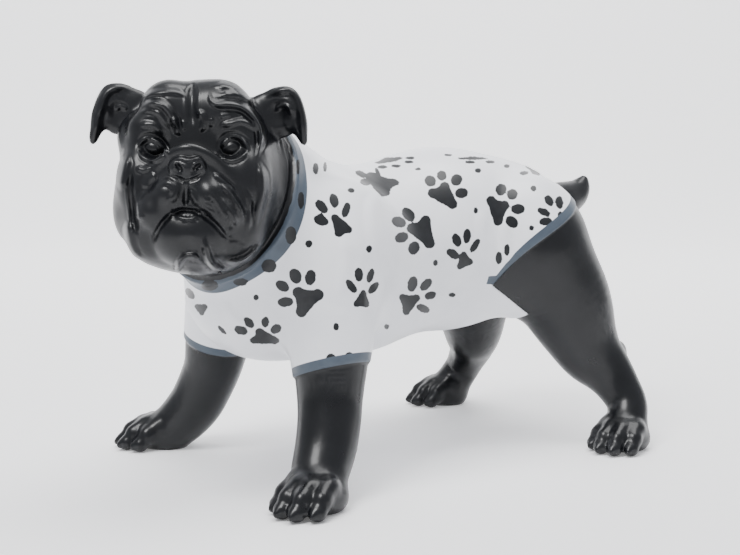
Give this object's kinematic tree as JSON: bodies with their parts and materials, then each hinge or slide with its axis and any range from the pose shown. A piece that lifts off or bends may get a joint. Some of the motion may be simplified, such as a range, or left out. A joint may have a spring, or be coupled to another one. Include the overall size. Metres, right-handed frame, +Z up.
{
  "type": "garden statue",
  "caption": "Glossy black bulldog garden statue in a white shirt with paw prints and a spotted blue-grey collar, standing with its head turned",
  "frame": {"origin": "on the ground, under the middle of the statue's bounding box", "axes": "+Z up, -Y the way the body faces, +X the dog's own left side, which is also the side the head is turned to"},
  "size_m": [0.4266, 0.7024, 0.4276],
  "materials": {
    "painted_resin": "hard gloss paint on cast resin: black dog, white shirt with black paw prints and dots, blue-grey collar, sleeve ends and hem"
  },
  "bodies": {
    "root": {"bulldog": "painted_resin"}
  },
  "joints": []
}
